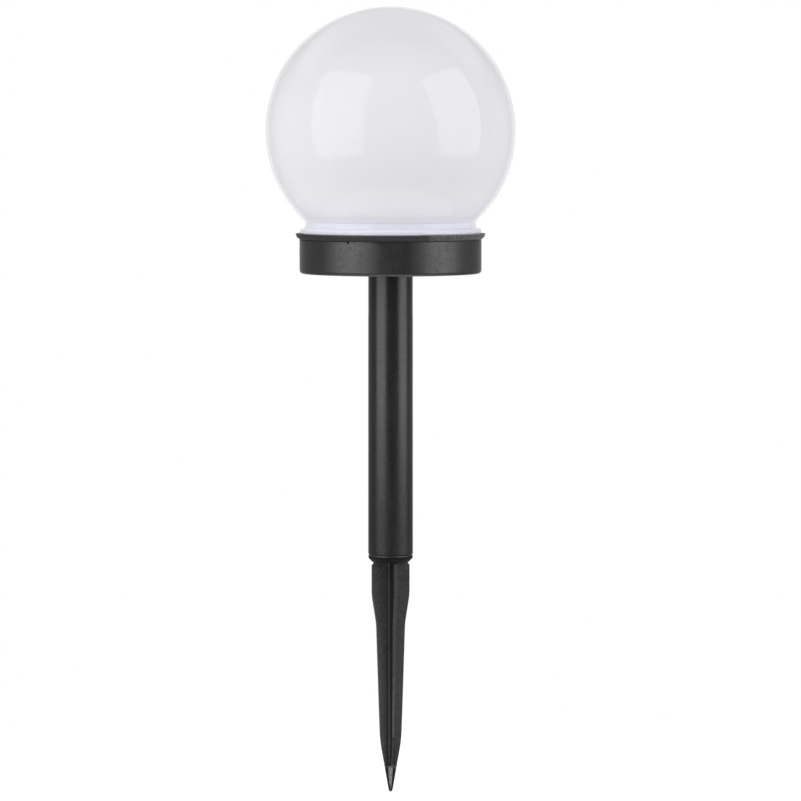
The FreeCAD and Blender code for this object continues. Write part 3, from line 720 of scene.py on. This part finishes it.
def on_rim(finish):
    """1 on the base's rim, above the joint with the cup, and 0 elsewhere."""
    return finish.both(finish.above(cup_top + rim_margin), finish.below(rim_top + rim_margin))


def rim_painted_highlight(finish):
    """A paler, smoother stretch of the rim: a painted highlight."""
    turn = turn_from_front(finish)
    stretch = finish.both(finish.fade(turn, rim_highlight_start_fade), finish.fade(turn, rim_highlight_end_fade))
    patches = finish.noise(rim_highlight_patch_size, detail=3.0, roughness=0.65)
    stretch = finish.both(stretch, finish.fade(patches, rim_highlight_patch_fade, rim_highlight_in_gaps, 1.0))
    return finish.both(stretch, on_rim(finish))


def turn_from_front(finish):
    """Angle about Z, in radians, from the front towards the right."""
    return finish.value("ARCTAN2", finish.axis("X"), finish.value("MULTIPLY", finish.axis("Y"), -1.0))


def spike_dust(finish, height, spike, shaded_flank, cloud):
    """Dry dust on the spike, in patches, thinner near its point, and thinner on the front blade's left
    flank, where shade is painted.
    """
    dusty = finish.both(spike, finish.fade(height, dust_fade, dust_at_point, 1.0))
    dusty = finish.both(dusty, finish.fade(cloud, dust_patch_fade, dust_in_gaps, 1.0))
    return finish.both(dusty, finish.raised(1.0, shaded_flank, -flank_without_dust))


def painted_shade_and_stains(finish, height, spike, shaded_flank, strip):
    """Painted shade under the collar, in the spike's corners, on its blades and round its point, with soil
    speckles all over.
    """
    shade_and_stains = finish.either(collar_painted_shadow(finish, height), point_painted_shade(finish, height))
    shaded_corners = finish.both(shaded_spike_corners(finish, height), spike)
    parts = (
        (shaded_corners, corner_shade),
        (shaded_flank, flank_shade),
        (shaded_right_blade(finish, spike), right_blade_shade),
        (strip, strip_shade),
        (strip, strip_end_painted_shade(finish, height)),
    )
    for part, share in parts:
        shade_and_stains = finish.either(shade_and_stains, finish.both(part, share))
    speckle = finish.fade(spike, whole, speckle_stain, spike_speckle_stain)
    at_point = finish.fade(height, point_speckle_fade, 0.0, point_speckle_stain)
    speckle = finish.both(speckles(finish), finish.value("ADD", speckle, at_point))
    return finish.raised(shade_and_stains, speckle, finish.outside(shade_and_stains))


def strip_painted_highlight(finish, height, strip, shade_and_stains):
    """1 on the left half of the front blade's edge, in its lower part, where a highlight is painted."""
    shine = finish.both(finish.both(strip, finish.outside(shade_and_stains)), finish.fade(height, strip_highlight_fade))
    return finish.both(shine, finish.fade(finish.axis("X"), strip_highlight_half_fade))


def front_strip(finish):
    """1 on the narrow edge of the front blade, 0 elsewhere."""
    forward = finish.value("LESS_THAN", finish.facing("Y"), -facing_normal)
    return finish.both(forward, finish.fade(finish.away("X", 0.0), strip_half_fade))


def front_blade_shaded_flank(finish):
    """1 on the left flank of the front blade, which is darkened as painted shade."""
    leftward = finish.value("LESS_THAN", finish.facing("X"), -facing_normal)
    return finish.both(leftward, finish.fade(finish.axis("Y"), flank_reach_fade))


def shaded_right_blade(finish, spike):
    """1 on the blade that points right, which is darkened as painted shade."""
    return finish.both(spike, finish.fade(finish.axis("X"), right_blade_reach_fade))


def shaded_spike_corners(finish, height):
    """1 in the inner corners between the spike's blades, where shade is painted."""
    off_axis = finish.away_from_line("XY", (0.0, 0.0))
    return finish.both(finish.fade(height, corner_top_fade), finish.fade(off_axis, corner_reach_fade))


def strip_end_painted_shade(finish, height):
    """Share of painted shade on the front edge, below its painted highlight and down to the point."""
    low = finish.fade(height, strip_end_fade, 0.0, strip_end_shade)
    return finish.both(low, finish.fade(height, strip_end_low_fade))


def collar_painted_shadow(finish, height):
    """1 on the collar's lower part and the blades' tops, where a shadow is painted."""
    below_top = finish.fade(height, collar_shadow_top_fade)
    return finish.both(below_top, finish.fade(height, collar_shadow_end_fade))


def point_lobes(finish):
    """Up to 1 in the middle of each patch of painted highlight, one of which faces the camera, and down to
    -1 between them.
    """
    turn = finish.value("SUBTRACT", turn_from_front(finish), math.radians(camera_azimuth_deg))
    return finish.value("COSINE", finish.value("MULTIPLY", turn, point_patches))


def point_painted_shade(finish, height):
    """1 between the patches of the spike's point, where shade is painted."""
    up = finish.value("SUBTRACT", height, point_end)
    low = finish.fade(up, point_shade_top_fade)
    return finish.both(low, finish.fade(point_lobes(finish), point_shade_lobe_fade))


def point_highlight_patches(finish, height):
    """Rougher, bumped patches round the spike's point, whose pale colour is a painted highlight."""
    up = finish.value("SUBTRACT", height, point_end)
    patch = finish.both(finish.fade(up, point_patch_top_fade), finish.fade(up, point_patch_tip_fade))
    patch = finish.both(patch, finish.fade(point_lobes(finish), point_patch_lobe_fade))
    stretch = (1, 1, point_patch_mottle_stretch)
    mottle = finish.noise(point_patch_mottle_size, detail=4.0, roughness=0.75, stretch=stretch)
    return finish.both(patch, finish.fade(mottle, point_patch_mottle_fade, point_patch_in_gaps, 1.0))


def black_tube():
    """Extruded tube: fine lines along it, rubs, a duller lower end from handling, painted shade that dims
    its gloss low down, and soil at its foot.
    """
    finish = Finish("black_tube", tube_colour, tube_roughness, Specular_IOR_Level=tube_specular)
    low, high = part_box("post_tube")
    half_length = (high.z - low.z) / 2
    up = finish.value("SUBTRACT", finish.axis("Z"), low.z)
    lines = finish.noise(tube_line_size, detail=3.0, stretch=(1, 1, tube_line_stretch))
    bands = finish.noise(tube_band_size, detail=2.0, stretch=(1, 1, tube_band_stretch))
    rubs = finish.noise(tube_rub_size, detail=4.0, roughness=0.65, stretch=(1, 1, tube_rub_stretch))
    finish.tint(rubs, black_shades)
    smoothest = tube_roughness - tube_roughness_spread
    dull = finish.fade(rubs, cloud_fade, smoothest, tube_roughness + tube_roughness_spread)
    handled = finish.fade(up, (half_length + tube_handled_over_middle, 0.0), 0.0, tube_extra_roughness)
    dull = finish.value("ADD", dull, handled)
    finish.set_roughness(finish.raised(dull, bands, tube_band_roughness))
    # Painted shade: gloss dimmed towards the lower end, with soil at the foot and in speckles
    low_shade = finish.fade(up, (half_length + tube_shade_over_middle, 0.0), 0.0, tube_low_shade)
    shade_and_soil = finish.either(low_shade, finish.fade(up, tube_foot_fade))
    finish.dim_gloss(finish.raised(shade_and_soil, speckles(finish), tube_speckle_soil), tube_shade_and_soil_gloss)
    finish.bump(lines, tube_line_depth, strength=0.5)
    return finish.material


# Opal plastic


def opal_plastic():
    """Milky white plastic with a glossy skin; it scatters light through its wall."""
    finish = Finish(
        "opal_plastic",
        opal_colour,
        opal_roughness,
        Subsurface_Weight=0.35,
        Subsurface_Radius=(1.0, 1.0, 1.0),
        Subsurface_Scale=opal_scatter,
        Specular_IOR_Level=0.30,
        Sheen_Weight=1.0,
        Sheen_Roughness=0.25,
    )
    over_rim = finish.value("SUBTRACT", finish.axis("Z"), rim_top)
    cloud = finish.noise(opal_cloud_size, detail=3.0)
    finish.tint(cloud, opal_shades)
    # Painted light: paler low on the ball
    finish.paint(finish.fade(over_rim, opal_painted_light_fade), opal_painted_light_colour)
    finish.paint(finish.fade(over_rim, opal_foot_fade), opal_foot_colour)
    smoothest = opal_roughness - opal_roughness_spread
    finish.set_roughness(finish.fade(cloud, cloud_fade, smoothest, opal_roughness + opal_roughness_spread))
    finish.bump(finish.noise(opal_ripple_size, detail=1.0), opal_ripple_depth, strength=0.3)
    finish.bump(gate_mark(finish), gate_depth)
    return finish.material


def gate_mark(finish):
    """Small round mark that the mould leaves at the ball's top."""
    disc = finish.fade(finish.away_from_line("XY", (0.0, 0.0)), gate_fade)
    return finish.both(disc, finish.above(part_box("globe")[1].z - gate_reach_down))


# Finishes of the small parts


def grained(name, **sockets):
    """Finish with a fine grain in its bump and a little change in its colour and roughness."""
    colour, roughness, grain_size, grain_depth = small_looks[name]
    finish = Finish(name, colour, roughness, **sockets)
    cloud = finish.noise(cloud_sizes_of_grain * grain_size, detail=3.0)
    finish.tint(cloud, cloud_shades)
    smoothest, roughest = (roughness * share for share in cloud_roughness_shares)
    finish.set_roughness(finish.fade(cloud, cloud_fade, smoothest, roughest))
    finish.bump(finish.noise(grain_size, detail=3.0), grain_depth, strength=0.6)
    return finish


def seal_rubber():
    """Matte rubber with pale talc in patches."""
    finish = grained("seal_rubber")
    talc = finish.fade(finish.noise(talc_size, detail=5.0, roughness=0.7), talc_fade)
    finish.inlay(finish.both(talc, talc_share), talc_colour, roughness=0.9)
    return finish.material


def steel():
    """Bright zinc on steel: small spangles, drawn lines and a few dull spots."""
    finish = grained("steel", Metallic=1.0)
    tone = finish.component(finish.cells(spangle_size)["Color"], "X")
    finish.set_roughness(finish.fade(tone, whole, *spangle_roughness))
    dull = finish.fade(finish.noise(zinc_spot_size, detail=4.0, roughness=0.7), zinc_spot_fade)
    finish.inlay(finish.both(dull, zinc_spot_share), dull_zinc_colour, roughness=0.6)
    drawn = finish.noise(drawn_line_size, detail=2.0, stretch=(drawn_line_stretch, 1, 1))
    finish.bump(drawn, drawn_line_depth, strength=0.5)
    return finish.material


def battery_sleeve():
    """Green shrink sleeve with a pale band; both ends are bare steel."""
    finish = grained("battery_sleeve")
    low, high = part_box("battery")
    centre = (low + high) / 2
    half_length = (high.x - low.x) / 2
    radius = (high.z - low.z) / 2
    band = finish.within(finish.away("X", high.x - sleeve_band_place), sleeve_band_width / 2)
    finish.inlay(band, sleeve_band_colour, roughness=0.28)
    stretch = (1, sleeve_wrinkle_stretch, sleeve_wrinkle_stretch)
    wrinkles = finish.noise(sleeve_wrinkle_size, detail=2.0, stretch=stretch)
    near_ends = finish.fade(finish.away("X", centre.x), (half_length - sleeve_wrinkle_reach, half_length))
    finish.bump(finish.both(wrinkles, near_ends), sleeve_wrinkle_depth, strength=0.6)
    off_axis = finish.away_from_line("YZ", (centre.y, centre.z))
    finish.metal(finish.within(off_axis, radius - sleeve_lap), zinc_colour, roughness=0.32)
    return finish.material


def circuit_board():
    """Green solder mask over copper tracks with tinned dots; the cut edges show the pale core."""
    finish = grained("circuit_board")
    field = finish.fade(finish.noise(track_field_size, detail=0.0), track_field_fade)
    along_x = finish.both(field, finish.lines("Y", 0.0, track_pitch, track_width))
    along_y = finish.both(finish.outside(field), finish.lines("X", 0.0, track_pitch, track_width))
    tracks = finish.either(along_x, along_y)
    finish.inlay(tracks, green_track_colour, roughness=0.32)
    finish.bump(tracks, track_depth, strength=0.8)
    dots = finish.both(*(finish.lines(letter, 0.0, dot_pitch, dot_width) for letter in "XY"))
    dots = finish.both(dots, finish.fade(finish.noise(dot_field_size, detail=0.0), dot_field_fade))
    finish.metal(dots, tin_colour, roughness=0.3)
    finish.inlay(finish.upright(), board_core_colour, roughness=0.7)
    return finish.material


def white_board():
    """White solder mask with ring tracks on both sides of the lamps; the cut edges show the pale core."""
    finish = grained("white_board")
    off_axis = finish.away_from_line("XY", (0.0, 0.0))
    from_lamps = finish.value("ABSOLUTE", finish.value("SUBTRACT", off_axis, middle_of("led_4").xy.length))
    from_tracks = finish.value("ABSOLUTE", finish.value("SUBTRACT", from_lamps, ring_track_offset))
    rings = finish.within(from_tracks, ring_track_half_width)
    finish.inlay(rings, white_track_colour, roughness=0.36)
    finish.bump(rings, track_depth, strength=0.8)
    finish.inlay(finish.upright(), board_core_colour, roughness=0.7)
    return finish.material


def chip_resin():
    """Black moulding resin, with a small dimple at one corner of the chip."""
    finish = grained("chip_resin")
    low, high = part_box("driver_chip")
    corner = (low.x + dimple_inset, low.y + dimple_inset)
    dimple = finish.within(finish.away_from_line("XY", corner), dimple_radius)
    dimple = finish.both(dimple, finish.above(high.z - dimple_reach_down))
    finish.inlay(dimple, resin_dimple_colour, roughness=0.35)
    finish.bump(dimple, -dimple_depth)
    return finish.material


def ferrite():
    """Dark sintered core with fine, pale pits."""
    finish = grained("ferrite")
    pits = finish.fade(finish.noise(ferrite_pit_size, detail=2.0), ferrite_pit_fade)
    finish.inlay(pits, ferrite_pit_colour, roughness=0.4)
    finish.bump(pits, -ferrite_pit_depth)
    return finish.material


def copper_wire():
    """Enamelled copper laid in close turns, with shade painted in the grooves between them."""
    finish = grained("copper_wire", Metallic=1.0)
    turn = finish.value("PINGPONG", finish.axis("Z"), wire_turn_pitch / 2)
    rounded = finish.value("SQRT", finish.value("DIVIDE", turn, wire_turn_pitch / 2))
    finish.set_colour(finish.mix(rounded, between_turns_shade_colour, finish.colour))
    finish.bump(rounded, wire_turn_depth)
    return finish.material


def capacitor_sleeve():
    """Dark blue sleeve with a pale stripe, and a scored aluminium top."""
    finish = grained("capacitor_sleeve")
    low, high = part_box("capacitor")
    centre = (low + high) / 2
    radius = (high.x - low.x) / 2
    stripe = finish.value("GREATER_THAN", finish.axis("X"), centre.x + capacitor_stripe_start * radius)
    finish.inlay(stripe, capacitor_stripe_colour, roughness=0.3)
    off_axis = finish.away_from_line("XY", (centre.x, centre.y))
    top = finish.within(off_axis, radius - capacitor_sleeve_lap)
    top = finish.both(top, finish.above(high.z - capacitor_top_reach_down))
    finish.metal(top, aluminium_colour, roughness=0.28)
    score_x = finish.within(finish.away("X", centre.x), score_half_width)
    score_y = finish.within(finish.away("Y", centre.y), score_half_width)
    finish.bump(finish.both(finish.either(score_x, score_y), top), -score_depth)
    return finish.material


def switch_lever():
    """Pale moulded lever, with ridges and grime on the end that a finger pushes."""
    finish = grained("switch_lever")
    thumb = finish.below(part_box("switch_lever")[0].z + thumb_height)
    ridges = finish.value("PINGPONG", finish.axis("X"), ridge_half_pitch)
    finish.bump(finish.both(thumb, ridges), depth=1.0, strength=0.8)
    grime = finish.fade(finish.noise(grime_size, detail=4.0, roughness=0.7), grime_fade)
    finish.inlay(finish.both(finish.both(grime, thumb), grime_share), grime_colour, roughness=0.65)
    return finish.material


def clear_resin():
    """Clear cast resin, with a faint ripple and a few tiny bubbles."""
    finish = grained("clear_resin", Transmission_Weight=1.0, Alpha=0.45)
    bubbles = finish.within(finish.cells(bubble_spacing)["Distance"], bubble_radius_share)
    finish.bump(bubbles, bubble_depth, strength=0.6)
    return finish.material


def solar_silicon():
    """Crystalline silicon in blue shades, with printed silver fingers and one wide bar down each cell."""
    finish = grained("solar_silicon")
    first = middle_of("solar_cell_1").x
    pitch = middle_of("solar_cell_2").x - first
    tone = finish.component(finish.cells(crystal_size)["Color"], "X")
    finish.set_colour(finish.mix(tone, dark_crystal_colour, light_crystal_colour))
    finish.set_roughness(finish.fade(tone, whole, *crystal_roughness))
    fingers = finish.lines("Y", 0.0, finger_pitch, finger_width)
    silver = finish.either(fingers, finish.lines("X", first, pitch, bar_width))
    finish.metal(silver, silver_colour, roughness=0.4)
    finish.bump(silver, silver_depth, strength=0.8)
    return finish.material


def led_lens():
    """White package with a round yellow phosphor window in its top."""
    finish = grained("led_lens")
    lamp = middle_of("led_4")
    across = finish.value("SUBTRACT", finish.away("X", 0.0), lamp.x)
    along = finish.value("SUBTRACT", finish.away("Y", 0.0), lamp.y)
    window = finish.within(finish.span(across, along), lamp_window_radius)
    window = finish.both(window, finish.outside(finish.upright()))
    finish.inlay(window, phosphor_colour, roughness=0.22)
    finish.bump(window, -lamp_window_depth)
    return finish.material


def wire_insulation(name):
    """Insulation with a fine grain; the end on the board is stripped and tinned."""
    finish = grained(name)
    stripped = finish.below(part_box("driver_board")[1].z + stripped_end)
    finish.metal(stripped, tin_colour, roughness=0.28)
    return finish.material


# Small pieces on the circuit board


def add_piece(name, mesh, slot):
    """A piece of the base, made from a bmesh, in a slot's finish."""
    data = bpy.data.meshes.new(name)
    mesh.to_mesh(data)
    mesh.free()
    data.materials.append(finishes[slot])
    piece = bpy.data.objects.new(name, data)
    bpy.context.scene.collection.objects.link(piece)
    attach(piece, "base")


def skin(mesh, rings, closed_ends):
    """Faces between rings of points, with the two end rings filled or left open."""
    rows = [[mesh.verts.new(point) for point in ring] for ring in rings]
    for row, following in zip(rows, rows[1:]):
        for i in range(len(row)):
            j = (i + 1) % len(row)
            mesh.faces.new((row[i], row[j], following[j], following[i]))
    if closed_ends:
        mesh.faces.new(rows[0])
        mesh.faces.new(list(reversed(rows[-1])))


def leg_rings(centre_x, edge, side, board_top):
    """Upright rectangles along one leg, which starts at the chip's edge and points to one side."""
    left, right = centre_x - leg_width / 2, centre_x + leg_width / 2
    rings = []
    for out, up in leg_path_mm:
        y = edge + side * out * MM
        low = board_top + up * MM - leg_thickness / 2
        high = low + leg_thickness
        rings.append([(left, y, low), (right, y, low), (right, y, high), (left, y, high)])
    return rings


def add_chip_legs():
    """Bent legs along the chip's two long sides."""
    low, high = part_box("driver_chip")
    middle_x = (low.x + high.x) / 2
    mesh = bmesh.new()
    for side, edge in ((-1, low.y), (1, high.y)):
        for i in range(legs_a_side):
            centre_x = middle_x + (i - (legs_a_side - 1) / 2) * leg_pitch
            skin(mesh, leg_rings(centre_x, edge, side, board_top=low.z), closed_ends=True)
    bmesh.ops.recalc_face_normals(mesh, faces=mesh.faces)
    add_piece("chip_legs", mesh, "steel")


def add_solder():
    """A concave mound of solder round each wire's end on the board, in pairs left and right."""
    low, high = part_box("driver_board")
    pads = (
        (panel_pad_x, (low.y + high.y) / 2 + panel_pad_over_middle),
        (light_pad_x, high.y - pad_inset),
        (high.x - pad_inset, low.y + pad_inset),
    )
    mesh = bmesh.new()
    for x, y in pads:
        for side in (-1, 1):
            rings = []
            for radius, up in solder_profile_mm:
                rings.append(circle(side * x, y, high.z + up * MM, radius * MM, solder_sides))
            skin(mesh, rings, closed_ends=False)
    for face in mesh.faces:
        face.smooth = True
    add_piece("solder_joints", mesh, "steel")


# Build the scene


makers = (
    black_plastic,
    black_tube,
    opal_plastic,
    seal_rubber,
    steel,
    battery_sleeve,
    circuit_board,
    white_board,
    chip_resin,
    ferrite,
    copper_wire,
    capacitor_sleeve,
    switch_lever,
    clear_resin,
    solar_silicon,
    led_lens,
)
finishes = {maker.__name__: maker() for maker in makers}
for name in ("red_wire", "black_wire"):
    finishes[name] = wire_insulation(name)
for name, node in frame["nodes"].items():
    node.material_slots[0].material = finishes[slot_of[name]]

add_chip_legs()
add_solder()

make_camera()
make_soft_box("left_box", **left_box)
make_soft_box("right_box", **right_box)
make_world()
make_floor()
bpy.context.scene.view_settings.view_transform = "Standard"
